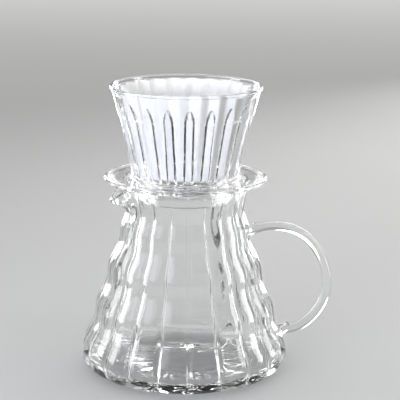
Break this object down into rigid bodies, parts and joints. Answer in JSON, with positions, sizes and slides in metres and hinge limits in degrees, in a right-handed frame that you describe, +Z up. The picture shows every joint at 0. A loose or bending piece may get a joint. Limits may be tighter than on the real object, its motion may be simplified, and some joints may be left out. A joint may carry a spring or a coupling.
{
  "type": "pour over dripper",
  "caption": "Clear glass pour over set: ribbed flat-bottom dripper with a saucer flange and pleated paper filter, standing on a fluted carafe with a pinched spout and a loop handle.",
  "frame": {"origin": "centre of the carafe's foot, on the table", "axes": "+Z up along the carafe's axis, +X from the axis towards the handle, -X towards the spout; the object is symmetric about the XZ plane"},
  "size_m": [0.1682, 0.1348, 0.1889],
  "materials": {
    "carafe_glass": "clear, hand-blown, fluted",
    "dripper_glass": "clear, pressed, ribbed",
    "filter_paper": "matt, white, pleated"
  },
  "bodies": {
    "carafe": {"carafe_body": "carafe_glass", "carafe_handle": "carafe_glass", "handle_upper_pad": "carafe_glass", "handle_lower_pad": "carafe_glass"},
    "dripper": {"dripper_cup": "dripper_glass", "dripper_flange": "dripper_glass", "dripper_floor": "dripper_glass", "dripper_skirt": "dripper_glass"},
    "filter": {"paper_filter": "filter_paper"}
  },
  "joints": [
    {"name": "dripper_lift", "type": "slide", "parent": "carafe", "child": "dripper", "axis": [0, 0, 1], "range_m": [0, 0.05]},
    {"name": "filter_lift", "type": "slide", "parent": "dripper", "child": "filter", "axis": [0, 0, 1], "range_m": [0, 0.07]}
  ]
}
